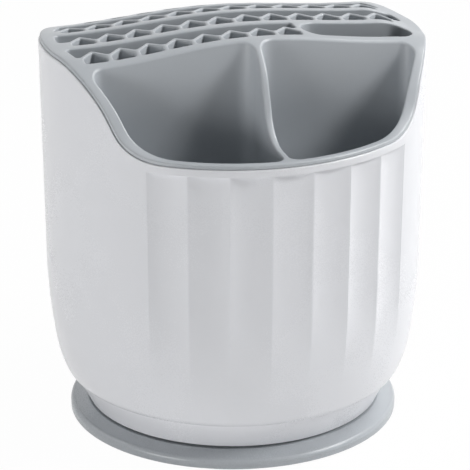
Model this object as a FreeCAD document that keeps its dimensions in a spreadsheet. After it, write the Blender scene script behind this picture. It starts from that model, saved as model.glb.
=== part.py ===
# Utensil and knife holder on a turntable base.
# A round tapered barrel carries a lift-out insert: two cutlery cups in front and an arched deck
# with rows of slots behind. The barrel stands on a conical foot that runs on a ring of balls.
# Millimetres, Z up, front towards -Y, floor at z = 0.
import FreeCAD
import Part
import Sketcher
import math
import os

SIZES = {
    # barrel, turned outline
    "wall_low_r": 80.65,
    "wall_top_r": 82.2,
    "wall_over": 10.6,
    "barrel_wall": 2.2,
    "barrel_floor_t": 2.4,
    "bowl_h": 52.7,
    "bowl_mid_h": 15.9,
    "bowl_low_h": 3.4,
    "bowl_mid_in": 3.25,
    "bowl_low_in": 6.95,
    "barrel_edge_in": 9.95,
    # flutes at the front
    "flute_r": 29.0,
    "flute_depth": 1.85,
    "flute_margin": 3.25,
    "flute_pitch_deg": 12.25,
    "flute_turn_deg": 1.25,
    # crown: the top surface of the lip and deck
    "crown_z": 176.4,
    "crown_over": 4.8,
    "arch_drop": 4.2,
    "arch_in": 3.4,
    "fall_y": 1.0,
    "fall_r": 147.0,
    "front_z": 139.55,
    "ramp_y": -49.7,
    "ramp_side_y": -49.2,
    "ramp_z": 150.0,
    "ramp_deg": 68.0,
    "ramp_side_deg": 62.0,
    "ramp_foot_r": 17.5,
    "ramp_head_r": 21.5,
    "ramp_side_head_r": 36.0,
    # insert
    "lip_cover": 2.13,
    "lip_t": 1.55,
    "lip_gap": 0.25,
    "plug_gap": 0.37,
    "deck_depth": 13.0,
    "seam_y": -27.9,
    "seam_gap": 0.2,
    # cups
    "well_in": 1.5,
    "well_draft": 2.2,
    "well_break_drop": 13.55,
    "cup_lift": 13.3,
    "cup_clear": 1.3,
    "cup_floor_t": 2.0,
    "cup_wall": 1.7,
    "divider_x": 0.6,
    "divider_t": 3.0,
    "well_outer_fillet": 5.0,
    "well_inner_fillet": 6.5,
    "well_front_fillet": 4.0,
    "drain_r": 3.0,
    "drain_pitch": 12.0,
    # deck slots
    "row_in": 2.1,
    "row_pitch": 21.0,
    "cell_pitch": 11.83,
    "cell_land": 2.2,
    "cell_eave": 3.8,
    "cell_apex": 9.0,
    "rib_t": 2.5,
    "bar_t": 4.4,
    "slot_border": 5.9,
    "slot_corner_r": 0.8,
    "tool_slot_gap": 1.34,
    "tool_slot_w": 16.3,
    # foot
    "foot_h": 12.2,
    "foot_step": 0.7,
    "foot_draft": 6.0,
    "foot_skirt": 2.6,
    "foot_plate_t": 2.4,
    "boss_in": 9.0,
    "boss_r": 4.2,
    # screws
    "screw_r": 1.4,
    "screw_head_r": 3.0,
    "screw_head_h": 1.6,
    "screw_length": 10.0,
    "screw_gap": 0.1,
    # turntable
    "base_z": 1.0,
    "base_over": 1.6,
    "base_band_h": 2.2,
    "shoulder_in": 1.8,
    "shoulder_h": 2.0,
    "base_flat_over": 0.5,
    "base_top_z": 7.0,
    "base_plate_t": 2.6,
    "base_skirt_t": 2.2,
    "turn_gap": 1.1,
    "hub_r": 7.0,
    "hub_top_z": 12.6,
    "hub_flange": 3.0,
    "hub_low_z": 2.0,
    "hub_gap": 0.08,
    "collar_t": 4.92,
    "collar_drop": 0.2,
    "race_r": 40.0,
    "race_half_w": 6.3,
    "race_step": 0.8,
    "race_floor_t": 2.3,
    "race_roof_t": 2.2,
    "ball_r": 2.5,
    "ball_gap": 0.15,
    "cage_side_gap": 0.8,
    "cage_t": 1.6,
    "cage_gap": 0.12,
    "bolt_r": 1.6,
    "bolt_head_r": 4.2,
    "bolt_head_h": 2.6,
    "bolt_recess": 1.2,
    "washer_over": 3.5,
    "washer_t": 1.2,
    "pad_in": 5.0,
    "pad_r": 5.0,
    "pad_h": 2.2,
    "pad_boss_t": 1.4,
    "pad_gap": 0.1,
    "base_rib_t": 1.4,
}
# what follows from the sizes above
DERIVED = {
    "foot_low_z": "base_top_z + turn_gap",
    "barrel_floor_z": "foot_low_z + foot_h",
    "bowl_low_z": "barrel_floor_z + bowl_low_h",
    "bowl_mid_z": "barrel_floor_z + bowl_mid_h",
    "wall_low_z": "barrel_floor_z + bowl_h",
    "wall_top_z": "crown_z + wall_over",
    "wall_lean": "(wall_top_r - wall_low_r) / (wall_top_z - wall_low_z)",
    "barrel_edge_r": "wall_low_r - barrel_edge_in",
    "bowl_low_r": "wall_low_r - bowl_low_in",
    "bowl_mid_r": "wall_low_r - bowl_mid_in",
    "flute_top_z": "front_z - lip_t - lip_gap - flute_margin",
    "flute_length": "flute_top_z - bowl_mid_z",
    "crown_reach": "max(wall_top_r; wall_low_r) + crown_over",
    "well_break_z": "front_z - well_break_drop",
    "mouth_low_r": "wall_low_r + wall_lean * (well_break_z - wall_low_z) - barrel_wall",
    "mouth_top_r": "wall_low_r + wall_lean * (crown_z - wall_low_z) - barrel_wall",
    "mouth_r": "min(mouth_low_r; mouth_top_r)",
    "plug_r": "mouth_r - plug_gap",
    "lip_r": "mouth_r + lip_cover",
    "well_r": "plug_r - well_in",
    "well_back_y": "seam_y - cup_wall - seam_gap",
    "cup_low_r": "min(bowl_mid_r - barrel_wall; mouth_r + cup_wall)",
    "well_floor_r": "cup_low_r - cup_wall - cup_clear",
    "well_floor_back_y": "well_back_y - well_draft",
    "cup_floor_z": "barrel_floor_z + barrel_floor_t + cup_lift",
    "knee_share": "(wall_low_z - cup_floor_z) / (well_break_z - cup_floor_z)",
    "knee_straight_r": "well_floor_r + (well_r - well_floor_r) * knee_share",
    "knee_limit_r": "wall_low_r - barrel_wall - cup_wall - cup_clear",
    "well_knee_r": "min(knee_straight_r; knee_limit_r)",
    "well_knee_back_y": "well_floor_back_y + well_draft * knee_share",
    "row_y": "seam_y + row_in",
    "slot_border_r": "lip_r - slot_border",
    "arch_half_w": "slot_border_r - arch_in",
    "tool_slot_back_y": "row_y + tool_slot_w",
    "foot_top_r": "barrel_edge_r - foot_step",
    "foot_low_r": "foot_top_r - foot_draft",
    "boss_ring_r": "foot_low_r - boss_in",
    "base_r": "foot_top_r + base_over",
    "base_edge_z": "base_z + base_band_h",
    "base_shoulder_r": "base_r - shoulder_in",
    "base_shoulder_z": "base_edge_z + shoulder_h",
    "base_flat_r": "foot_low_r + base_flat_over",
    "ball_z": "(base_top_z + foot_low_z) / 2",
    "race_low_z": "ball_z - ball_r - ball_gap - race_floor_t",
    "race_top_z": "ball_z + ball_r + ball_gap + race_roof_t",
    "hub_low_r": "hub_r + hub_flange",
    "collar_r": "hub_r + hub_gap + collar_t",
    "collar_top_z": "hub_top_z - collar_drop",
    "cage_half_w": "race_half_w - cage_side_gap",
    "bolt_low_z": "hub_low_z + bolt_recess",
    "washer_r": "hub_r + washer_over",
    "pad_ring_r": "base_flat_r - pad_in",
    "pad_boss_r": "pad_r + pad_boss_t",
}
FLUTES = 7
BALLS = 16
SCREWS = 4
PADS = 6
BASE_RIBS = 12
# cells of the front row that give way to the wide slot
TOOL_SLOT_PLACES = 4


class Dim:
    """A length with the sheet expression that gives it."""

    def __init__(self, value, text):
        self.value = value
        self.text = text

    def _pair(self, other):
        if isinstance(other, Dim):
            return other
        return Dim(float(other), repr(float(other)))

    def __add__(self, other):
        b = self._pair(other)
        return Dim(self.value + b.value, "(%s + %s)" % (self.text, b.text))

    def __sub__(self, other):
        b = self._pair(other)
        return Dim(self.value - b.value, "(%s - %s)" % (self.text, b.text))

    def __mul__(self, other):
        b = self._pair(other)
        return Dim(self.value * b.value, "(%s * %s)" % (self.text, b.text))

    def __truediv__(self, other):
        b = self._pair(other)
        return Dim(self.value / b.value, "(%s / %s)" % (self.text, b.text))


doc = FreeCAD.newDocument("UtensilHolder")
sheet = doc.addObject("Spreadsheet::Sheet", "Sizes")
for row, name in enumerate(SIZES, start=1):
    sheet.set("A%d" % row, name)
    sheet.set("B%d" % row, str(SIZES[name]))
    sheet.setAlias("B%d" % row, name)
for row, name in enumerate(DERIVED, start=len(SIZES) + 2):
    sheet.set("A%d" % row, name)
    sheet.set("B%d" % row, "=" + DERIVED[name])
    sheet.setAlias("B%d" % row, name)
doc.recompute()


def size(name):
    return float(sheet.get(name))


def dim(name):
    return Dim(size(name), "Sizes.%s" % name)


def vec(x, y, z=0.0):
    return FreeCAD.Vector(x, y, z)


def new_body(label):
    body = doc.addObject("PartDesign::Body", label)
    body.Label = label
    return body


def new_sketch(body, name, role, offset_z=None):
    sketch = body.newObject("Sketcher::SketchObject", name)
    plane = [f for f in body.Origin.OriginFeatures if f.Role == role][0]
    sketch.AttachmentSupport = [(plane, "")]
    sketch.MapMode = "FlatFace"
    if offset_z is not None:
        sketch.setExpression(".AttachmentOffset.Base.z", offset_z.text)
    return sketch


def bind(sketch, constraint, value):
    index = sketch.addConstraint(constraint)
    sketch.setExpression("Constraints[%d]" % index, value.text)
    return index


def pin(sketch, geo, pos, point):
    """Hold one end of an edge at a point measured from the sketch origin."""
    for kind, value in (("DistanceX", point[0]), ("DistanceY", point[1])):
        if abs(value.value) < 1e-9:
            other = -2 if kind == "DistanceX" else -1
            sketch.addConstraint(Sketcher.Constraint("PointOnObject", geo, pos, other))
        else:
            bind(sketch, Sketcher.Constraint(kind, -1, 1, geo, pos, value.value), value)


def tangent_arc(start, heading, end):
    """Arc that leaves start along heading and reaches end."""
    chord = end - start
    normal = vec(-heading.y, heading.x)
    radius = chord.dot(chord) / (2.0 * chord.dot(normal))
    centre = start + normal * radius
    circle = Part.Circle(centre, vec(0, 0, 1), abs(radius))
    a0 = math.atan2(start.y - centre.y, start.x - centre.x)
    a1 = math.atan2(end.y - centre.y, end.x - centre.x)
    spin = 1.0 if radius > 0 else -1.0
    leave = vec(-(end.y - centre.y), end.x - centre.x) * (spin / abs(radius))
    if radius > 0:
        return Part.ArcOfCircle(circle, a0, a1), True, leave
    return Part.ArcOfCircle(circle, a1, a0), False, leave


def outline(sketch, points, arcs=()):
    """Closed outline through pinned points; arcs names the points reached by a tangent arc."""
    count = len(points)
    spots = [vec(p[0].value, p[1].value) for p in points]
    ends = []
    heading = None
    for i in range(count):
        j = (i + 1) % count
        if j in arcs:
            shape, forward, heading = tangent_arc(spots[i], heading, spots[j])
            geo = sketch.addGeometry(shape, False)
            ends.append((geo, 1, 2) if forward else (geo, 2, 1))
        else:
            geo = sketch.addGeometry(Part.LineSegment(spots[i], spots[j]), False)
            heading = (spots[j] - spots[i]).normalize()
            ends.append((geo, 1, 2))
    for i in range(count):
        j = (i + 1) % count
        kind = "Tangent" if (j + 1) % count in arcs else "Coincident"
        here, after = ends[i], ends[j]
        sketch.addConstraint(Sketcher.Constraint(kind, here[0], here[2], after[0], after[1]))
        pin(sketch, after[0], after[1], points[j])


def revolve(body, name, sketch):
    feature = body.newObject("PartDesign::Revolution", name)
    feature.Profile = sketch
    feature.ReferenceAxis = (sketch, ["V_Axis"])
    feature.Angle = 360.0
    sketch.Visibility = False
    return feature


def turned(label, points, arcs=()):
    body = new_body(label)
    sketch = new_sketch(body, label + "_outline", "XZ_Plane")
    outline(sketch, points, arcs)
    revolve(body, label + "_turn", sketch)
    doc.recompute()
    return body


def circle(sketch, x, y, r):
    geo = sketch.addGeometry(Part.Circle(vec(x.value, y.value), vec(0, 0, 1), r.value), False)
    pin(sketch, geo, 3, (x, y))
    bind(sketch, Sketcher.Constraint("Radius", geo, r.value), r)


def polar(body, name, feature, sketch, count):
    pattern = body.newObject("PartDesign::PolarPattern", name)
    pattern.Originals = [feature]
    pattern.Axis = (sketch, ["N_Axis"])
    pattern.Angle = 360.0
    pattern.Occurrences = count
    body.Tip = pattern
    return pattern


def pad(body, name, sketch, length, reverse=False):
    feature = body.newObject("PartDesign::Pad", name)
    feature.Profile = sketch
    feature.setExpression("Length", length.text)
    feature.Reversed = reverse
    sketch.Visibility = False
    return feature


def pocket(body, name, sketch, length, reverse=False):
    before = body.Shape.Volume
    feature = body.newObject("PartDesign::Pocket", name)
    feature.Profile = sketch
    feature.setExpression("Length", length.text)
    feature.Reversed = reverse
    sketch.Visibility = False
    doc.recompute()
    if not body.Shape.Volume < before - 1e-6:
        raise RuntimeError("%s removed nothing" % name)
    return feature


def groove(body, name, sketch):
    before = body.Shape.Volume
    feature = body.newObject("PartDesign::Groove", name)
    feature.Profile = sketch
    feature.ReferenceAxis = (sketch, ["V_Axis"])
    feature.Angle = 360.0
    sketch.Visibility = False
    doc.recompute()
    if not body.Shape.Volume < before - 1e-6:
        raise RuntimeError("%s removed nothing" % name)
    return feature


def cylinder(name, r, height, at, offset=None):
    item = doc.addObject("Part::Cylinder", name)
    item.setExpression("Radius", r.text)
    item.setExpression("Height", height.text)
    item.Placement = FreeCAD.Placement(at, offset or FreeCAD.Rotation())
    return item


def fuse(name, items):
    item = doc.addObject("Part::MultiFuse", name)
    item.Shapes = items
    return item


def common(name, items):
    item = doc.addObject("Part::MultiCommon", name)
    item.Shapes = items
    return item


def cut(name, base, tool):
    item = doc.addObject("Part::Cut", name)
    item.Base = base
    item.Tool = tool
    return item


def shaped(name, shape, placement=None):
    item = doc.addObject("Part::Feature", name)
    item.Shape = shape
    if placement is not None:
        item.Placement = placement
    return item


# Crown: sections across the top surface, set side by side along X and lofted
reach = size("crown_reach")
far = reach + 13.0
high = size("wall_top_z") + 73.0


def crown_section(x):
    out = min(abs(x) / size("arch_half_w"), 1.0)
    side = (1.0 - math.cos(math.pi * out)) / 2.0

    def between(middle, end):
        return size(middle) + (size(end) - size(middle)) * side

    top = size("crown_z") - size("arch_drop") * side
    slope = math.radians(between("ramp_deg", "ramp_side_deg"))
    ramp_y = between("ramp_y", "ramp_side_y")
    foot_y = ramp_y - (size("ramp_z") - size("front_z")) / math.tan(slope)
    head_y = ramp_y + (top - size("ramp_z")) / math.tan(slope)
    foot_r, head_r = size("ramp_foot_r"), between("ramp_head_r", "ramp_side_head_r")
    # the two rounds share the ramp, so each is limited by its length
    ramp = (top - size("front_z")) / math.sin(slope)
    share = min(1.0, 0.96 * ramp / ((foot_r + head_r) * math.tan(slope / 2.0)))
    foot_r, head_r = foot_r * share, head_r * share
    foot_run = foot_r * math.tan(slope / 2.0)
    head_run = head_r * math.tan(slope / 2.0)
    c, s = math.cos(slope), math.sin(slope)
    fall = size("fall_r")
    back = far - size("fall_y")

    def at(y, z):
        return vec(x, y, z)

    start = at(-far, size("front_z"))
    t1 = at(foot_y - foot_run, size("front_z"))
    t2 = at(foot_y + foot_run * c, size("front_z") + foot_run * s)
    t3 = at(head_y - head_run * c, top - head_run * s)
    t4 = at(head_y + head_run, top)
    t5 = at(size("fall_y"), top)
    end = at(far, top - fall + math.sqrt(fall * fall - back * back))
    half = slope / 2.0
    m1 = at(t1.y + foot_r * math.sin(half), t1.z + foot_r * (1 - math.cos(half)))
    m2 = at(t4.y - head_r * math.sin(half), t4.z - head_r * (1 - math.cos(half)))
    turn = math.asin(back / fall) / 2.0
    m3 = at(t5.y + fall * math.sin(turn), t5.z - fall * (1 - math.cos(turn)))
    edges = [
        Part.LineSegment(start, t1).toShape(),
        Part.Arc(t1, m1, t2).toShape(),
        Part.LineSegment(t2, t3).toShape(),
        Part.Arc(t3, m2, t4).toShape(),
        Part.LineSegment(t4, t5).toShape(),
        Part.Arc(t5, m3, end).toShape(),
        Part.LineSegment(end, at(far, high)).toShape(),
        Part.LineSegment(at(far, high), at(-far, high)).toShape(),
        Part.LineSegment(at(-far, high), start).toShape(),
    ]
    return Part.Wire(edges)


crown_shape = Part.makeLoft([crown_section(reach * k / 4.0) for k in range(-4, 5)], True, False)
if crown_shape.Volume < 0:
    crown_shape.reverse()


def above_crown(name, drop):
    """Everything higher than the top surface lowered by drop."""
    return shaped(name, crown_shape.copy(), FreeCAD.Placement(vec(0, 0, -drop), FreeCAD.Rotation()))


# Barrel
wall = dim("barrel_wall")
floor_top = dim("barrel_floor_z") + dim("barrel_floor_t")
zero = Dim(0.0, "0")
barrel_turn = turned("barrel_turned", [
    (dim("wall_top_r") - wall, dim("wall_top_z")),
    (dim("wall_top_r"), dim("wall_top_z")),
    (dim("wall_low_r"), dim("wall_low_z")),
    (dim("bowl_mid_r"), dim("bowl_mid_z")),
    (dim("bowl_low_r"), dim("bowl_low_z")),
    (dim("barrel_edge_r"), dim("barrel_floor_z")),
    (zero, dim("barrel_floor_z")),
    (zero, floor_top),
    (dim("bowl_low_r") - wall * 2.6, floor_top),
    (dim("bowl_low_r") - wall, dim("bowl_low_z") + 1.8),
    (dim("bowl_mid_r") - wall, dim("bowl_mid_z")),
    (dim("wall_low_r") - wall, dim("wall_low_z")),
], arcs=(3, 4, 5))

# Flutes: round cutters set side by side, each leaning with the drafted wall
wall_r_at_flute = size("wall_low_r") + size("wall_lean") * (size("flute_top_z") - size("wall_low_z"))
flute_axis_r = wall_r_at_flute - size("flute_depth") + size("flute_r")
cutters = []
for k in range(FLUTES):
    angle = (k - (FLUTES - 1) / 2.0) * size("flute_pitch_deg") + size("flute_turn_deg")
    spin = FreeCAD.Rotation(vec(0, 0, 1), angle)
    lean = FreeCAD.Rotation(vec(1, 0, 0), 180.0 + math.degrees(math.atan(size("wall_lean"))))
    cutter = cylinder("flute_cutter_%d" % (k + 1), dim("flute_r"), dim("flute_length"),
                      spin.multVec(vec(0, -flute_axis_r, size("flute_top_z"))), spin.multiply(lean))
    cutters.append(cutter)
flutes = fuse("flute_cutters", cutters)

# Countersunk holes for the screws that hold the foot
holes = []
for k in range(SCREWS):
    angle = math.radians(45.0 + 360.0 * k / SCREWS)
    spot = vec(size("boss_ring_r") * math.cos(angle), size("boss_ring_r") * math.sin(angle))
    hole = cylinder("screw_hole_%d" % (k + 1), dim("screw_r") + dim("screw_gap") * 2.0,
                    dim("barrel_floor_t") + 2.0, spot + vec(0, 0, size("barrel_floor_z") - 1.0))
    sink = doc.addObject("Part::Cone", "screw_sink_%d" % (k + 1))
    sink.setExpression("Radius1", (dim("screw_r") + dim("screw_gap")).text)
    sink.setExpression("Radius2", (dim("screw_head_r") + dim("screw_gap")).text)
    sink.setExpression("Height", dim("screw_head_h").text)
    sink.Placement.Base = spot + vec(0, 0, floor_top.value - size("screw_head_h"))
    holes += [hole, sink]
screw_holes = fuse("screw_holes", holes)

rim_trim = above_crown("rim_trim", size("lip_t") + size("lip_gap"))
barrel_trimmed = cut("barrel_trimmed", barrel_turn, rim_trim)
barrel_fluted = cut("barrel_fluted", barrel_trimmed, flutes)
outer_barrel = cut("outer_barrel", barrel_fluted, screw_holes)

# Insert blank: a lip on the barrel rim and a plug that drops inside the wall
lip_top = above_crown("lip_top", 0.0)
lip_under = above_crown("lip_under", size("lip_t"))
plug_under = above_crown("plug_under", size("deck_depth"))
tall = dim("wall_top_z")
lip_disc = cylinder("lip_disc", dim("lip_r"), tall, vec(0, 0, 0))
plug_disc = cylinder("plug_disc", dim("plug_r"), tall, vec(0, 0, 0))
lip_high = common("lip_high", [lip_disc, lip_under])
plug_high = common("plug_high", [plug_disc, plug_under])
blank = cut("insert_blank", fuse("insert_tall", [lip_high, plug_high]), lip_top)
doc.recompute()


def behind_seam(name):
    item = doc.addObject("Part::Box", name)
    item.Length = far * 2.4
    item.Width = far * 2.0
    item.Height = high + 40.0
    item.setExpression(".Placement.Base.y", "Sizes.seam_y")
    item.Placement.Base.x = -far * 1.2
    return item


front_blank = cut("front_blank", blank, behind_seam("front_cutter"))
rear_blank = common("rear_blank", [blank, behind_seam("rear_keeper")])


# Cups: outlines at several heights, lofted with flat sides
def arc3(a, b, c):
    return Part.Arc(a, b, c).toShape()


def fillet_mid(centre, r, a, b):
    way = ((a - centre).normalize() + (b - centre).normalize()).normalize()
    return centre + way * r


def well_wire(side, z, r, back_y):
    """Outline of one well: straight divider side, straight back, round front."""
    inner = size("divider_t") / 2.0 + side * size("divider_x")
    ro, ri, rf = size("well_outer_fillet"), size("well_inner_fillet"), size("well_front_fillet")
    oc = vec(math.sqrt((r - ro) ** 2 - (back_y - ro) ** 2), back_y - ro)
    ic = vec(inner + ri, back_y - ri)
    fc = vec(inner + rf, -math.sqrt((r - rf) ** 2 - (inner + rf) ** 2))
    o1, o2 = vec(oc.x, back_y), oc * (r / (r - ro))
    i1, i2 = vec(inner, ic.y), vec(ic.x, back_y)
    f1, f2 = fc * (r / (r - rf)), vec(inner, fc.y)
    mid = (o2 + f1).normalize() * r
    runs = [
        (i2, None, o1), (o1, fillet_mid(oc, ro, o1, o2), o2), (o2, mid, f1),
        (f1, fillet_mid(fc, rf, f1, f2), f2), (f2, None, i1), (i1, fillet_mid(ic, ri, i1, i2), i2),
    ]
    edges = []
    for a, m, b in runs:
        p = [vec(side * q.x, q.y, z) for q in (a, m, b) if q is not None]
        edges.append(arc3(*p) if len(p) == 3 else Part.LineSegment(*p).toShape())
    return Part.Wire(edges)


def cup_wire(z, r, back_y):
    """Outline round both cups: straight back, round front."""
    ro = size("well_outer_fillet") + size("cup_wall")
    oc = vec(math.sqrt((r - ro) ** 2 - (back_y - ro) ** 2), back_y - ro)
    o1, o2 = vec(oc.x, back_y), oc * (r / (r - ro))
    m = fillet_mid(oc, ro, o1, o2)

    def flip(p):
        return vec(-p.x, p.y)

    pts = [[flip(o1), o1], [o1, m, o2], [o2, vec(0, -r), flip(o2)], [flip(o2), flip(m), flip(o1)]]
    edges = []
    for run in pts:
        p = [vec(q.x, q.y, z) for q in run]
        edges.append(arc3(*p) if len(p) == 3 else Part.LineSegment(*p).toShape())
    return Part.Wire(edges)


def loft(wires):
    shape = Part.makeLoft(wires, True, True)
    if shape.Volume < 0:
        shape.reverse()
    return shape


wells = []
for side, name in ((-1, "left_well"), (1, "right_well")):
    wells.append(shaped(name, loft([
        well_wire(side, size("cup_floor_z"), size("well_floor_r"), size("well_floor_back_y")),
        well_wire(side, size("wall_low_z"), size("well_knee_r"), size("well_knee_back_y")),
        well_wire(side, size("well_break_z"), size("well_r"), size("well_back_y")),
        well_wire(side, high, size("well_r"), size("well_back_y")),
    ])))
t = size("cup_wall")
cup_shell = shaped("cup_shell", loft([
    cup_wire(size("cup_floor_z") - size("cup_floor_t"), size("well_floor_r") + t, size("well_floor_back_y") + t),
    cup_wire(size("wall_low_z"), size("well_knee_r") + t, size("well_knee_back_y") + t),
    cup_wire(size("well_break_z"), size("well_r") + t, size("well_back_y") + t),
    cup_wire(high, size("well_r") + t, size("well_back_y") + t),
]))
plug_keeper = cylinder("plug_keeper", dim("plug_r"), tall, vec(0, 0, 0))
cup_top_trim = above_crown("cup_top_trim", size("lip_t"))
cups_kept = common("cups_kept", [cup_shell, plug_keeper])
cups_low = cut("cups_low", cups_kept, cup_top_trim)
drains = []
drain_y = (size("well_floor_back_y") - size("well_floor_r")) / 2.0
drain_x = (size("divider_t") / 2.0 + math.sqrt(size("well_floor_r") ** 2 - drain_y ** 2)) / 2.0
pitch = size("drain_pitch")
for side in (-1, 1):
    for k, (dx, dy) in enumerate(((0, 0), (1, 0), (-1, 0), (0, 0.75), (0, -0.75))):
        spot = vec(side * drain_x + dx * pitch, drain_y + dy * pitch, size("barrel_floor_z"))
        drains.append(cylinder("drain_%s_%d" % ("left" if side < 0 else "right", k + 1),
                               dim("drain_r"), dim("cup_floor_z"), spot))
cup_cutters = fuse("cup_cutters", wells + drains)
cutlery_cups = cut("cutlery_cups", fuse("cup_solid", [front_blank, cups_low]), cup_cutters)


# Deck slots: plan outlines with rounded corners, cut straight down
def rounded(points, r):
    """Closed wire through the points with every corner rounded, less where a side is short."""
    count = len(points)
    cuts = []
    for i, p in enumerate(points):
        a, b = points[i - 1] - p, points[(i + 1) % count] - p
        la, lb = a.Length, b.Length
        a.normalize()
        b.normalize()
        half = math.acos(max(-1.0, min(1.0, a.dot(b)))) / 2.0
        run = min(r / math.tan(half), 0.45 * la, 0.45 * lb)
        radius = run * math.tan(half)
        centre = p + (a + b).normalize() * (radius / math.sin(half))
        cuts.append((p + a * run, centre + (p - centre).normalize() * radius, p + b * run))
    edges = []
    for i in range(count):
        before, here = cuts[i - 1], cuts[i]
        edges.append(Part.LineSegment(before[2], here[0]).toShape())
        edges.append(arc3(*here))
    return Part.Wire(edges)


def prism(wire):
    low = size("wall_low_z")
    face = Part.Face(wire)
    shape = face.extrude(vec(0, 0, high - low))
    shape.translate(vec(0, 0, low))
    return shape


def cell_shape(x, y):
    half = (size("cell_pitch") - size("cell_land")) / 2.0
    eave, apex = size("cell_eave"), size("cell_apex")
    points = [vec(x - half, y), vec(x + half, y), vec(x + half, y + eave), vec(x, y + apex), vec(x - half, y + eave)]
    return prism(rounded(points, size("slot_corner_r")))


def places_across(y):
    """Even number of cells whose eaves stay inside the round border."""
    widest = max(abs(y), abs(y + size("cell_eave")))
    chord = 2.0 * math.sqrt(size("slot_border_r") ** 2 - widest ** 2)
    return 2 * int((chord + size("cell_land")) / size("cell_pitch") / 2.0)


def tool_slot_x0(places):
    return (places / 2.0 - TOOL_SLOT_PLACES) * size("cell_pitch") + size("tool_slot_gap")


def band_shape(places, cells, y):
    """The long slot behind one row: zigzag front, straight back, ends on the border circle."""
    pitch, rib = size("cell_pitch"), size("rib_t")
    low = y + size("cell_eave") + rib - size("cell_land") * 0.45
    peak = y + size("cell_apex") + rib
    back = y + size("row_pitch") - size("bar_t")
    left = -places * pitch / 2.0
    ends = 4.5 - left
    points = [vec(-ends, low)]
    for k in range(cells):
        x = left + (k + 0.5) * pitch
        points.append(vec(x - pitch / 2.0, low))
        points.append(vec(x, peak))
    if cells == places:
        points.append(vec(left + cells * pitch, low))
        points.append(vec(ends, low))
        points.append(vec(ends, back))
    else:
        stop = tool_slot_x0(places) - rib
        points.append(vec(stop, peak - (stop - x) * 0.9))
        points.append(vec(stop, back))
    points.append(vec(-ends, back))
    tidy = [p for i, p in enumerate(points) if (p - points[i - 1]).Length > 0.3]
    border = Part.makeCylinder(size("slot_border_r"), high)
    return prism(rounded(tidy, size("slot_corner_r"))).common(border).Solids[0]


def tool_slot_shape():
    """Wide slot with round ends at the right of the front row."""
    y0, y1 = size("row_y"), size("tool_slot_back_y")
    r = (y1 - y0) / 2.0
    x0 = tool_slot_x0(places_across(y0))
    x1 = size("slot_border_r") * math.cos(math.asin((y0 + r) / size("slot_border_r"))) - 0.4
    points = [vec(x0, y0), vec(x1, y0), vec(x1, y1), vec(x0, y1)]
    return prism(rounded(points, r * 0.9))


slot_shapes = [tool_slot_shape()]
rows = int((size("slot_border_r") - size("row_y")) / size("row_pitch"))
for k in range(rows):
    y = size("row_y") + k * size("row_pitch")
    places = places_across(y)
    cells = places - TOOL_SLOT_PLACES if k == 0 else places
    for i in range(cells):
        slot_shapes.append(cell_shape((i + 0.5 - places / 2.0) * size("cell_pitch"), y))
    slot_shapes.append(band_shape(places, cells, y))
slots = shaped("deck_slots", Part.makeCompound(slot_shapes))
knife_deck = cut("knife_deck", rear_blank, slots)

# Foot: a conical dish under the barrel with the upper ball track below
foot_low = dim("foot_low_z")
foot_top = dim("barrel_floor_z")
plate_top = foot_low + dim("foot_plate_t")
race_in = dim("race_r") - dim("race_half_w")
race_out = dim("race_r") + dim("race_half_w")
race_top = dim("race_top_z")
race_roof = foot_low + dim("race_step")
bore = dim("hub_r") + dim("hub_gap")
foot_ring = turned("foot_ring", [
    (bore, foot_low),
    (race_in, foot_low),
    (race_in, race_roof),
    (race_out, race_roof),
    (race_out, foot_low),
    (dim("foot_low_r"), foot_low),
    (dim("foot_top_r"), foot_top),
    (dim("foot_top_r") - dim("foot_skirt"), foot_top),
    (dim("foot_low_r") - dim("foot_skirt"), plate_top),
    (race_out + 1.2, plate_top),
    (race_out + 1.2, race_top),
    (race_in - 1.2, race_top),
    (race_in - 1.2, plate_top),
    (dim("collar_r"), plate_top),
    (dim("collar_r"), dim("collar_top_z")),
    (bore, dim("collar_top_z")),
])
track_r = dim("ball_r") + dim("ball_gap")
track = new_sketch(foot_ring, "foot_track", "XZ_Plane")
circle(track, dim("race_r"), dim("ball_z"), track_r)
groove(foot_ring, "foot_track_cut", track)
boss_spot = dim("boss_ring_r") / math.sqrt(2.0)
boss = new_sketch(foot_ring, "boss_outline", "XY_Plane", plate_top)
circle(boss, boss_spot, boss_spot, dim("boss_r"))
boss_pad = pad(foot_ring, "boss", boss, foot_top - plate_top)
doc.recompute()
polar(foot_ring, "bosses", boss_pad, boss, SCREWS)
doc.recompute()
bore_sketch = new_sketch(foot_ring, "boss_bore_outline", "XY_Plane", foot_top)
circle(bore_sketch, boss_spot, boss_spot, dim("screw_r") + dim("screw_gap"))
boss_bore = pocket(foot_ring, "boss_bore", bore_sketch, dim("screw_length") - dim("barrel_floor_t") + 0.8)
polar(foot_ring, "boss_bores", boss_bore, bore_sketch, SCREWS)
doc.recompute()

# Screws, set round the floor of the barrel
one_screw = turned("screw_pattern_piece", [
    (zero, floor_top - dim("screw_length")),
    (dim("screw_r"), floor_top - dim("screw_length")),
    (dim("screw_r"), floor_top - dim("screw_head_h")),
    (dim("screw_head_r"), floor_top),
    (zero, floor_top),
])
placed = []
for k in range(SCREWS):
    angle = 45.0 + 360.0 * k / SCREWS
    spin = FreeCAD.Rotation(vec(0, 0, 1), angle)
    copy = one_screw.Shape.copy()
    copy.Placement = FreeCAD.Placement(spin.multVec(vec(size("boss_ring_r"), 0, 0)), spin)
    placed.append(copy)
foot_screws = shaped("foot_screws", Part.makeCompound(placed))

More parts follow.
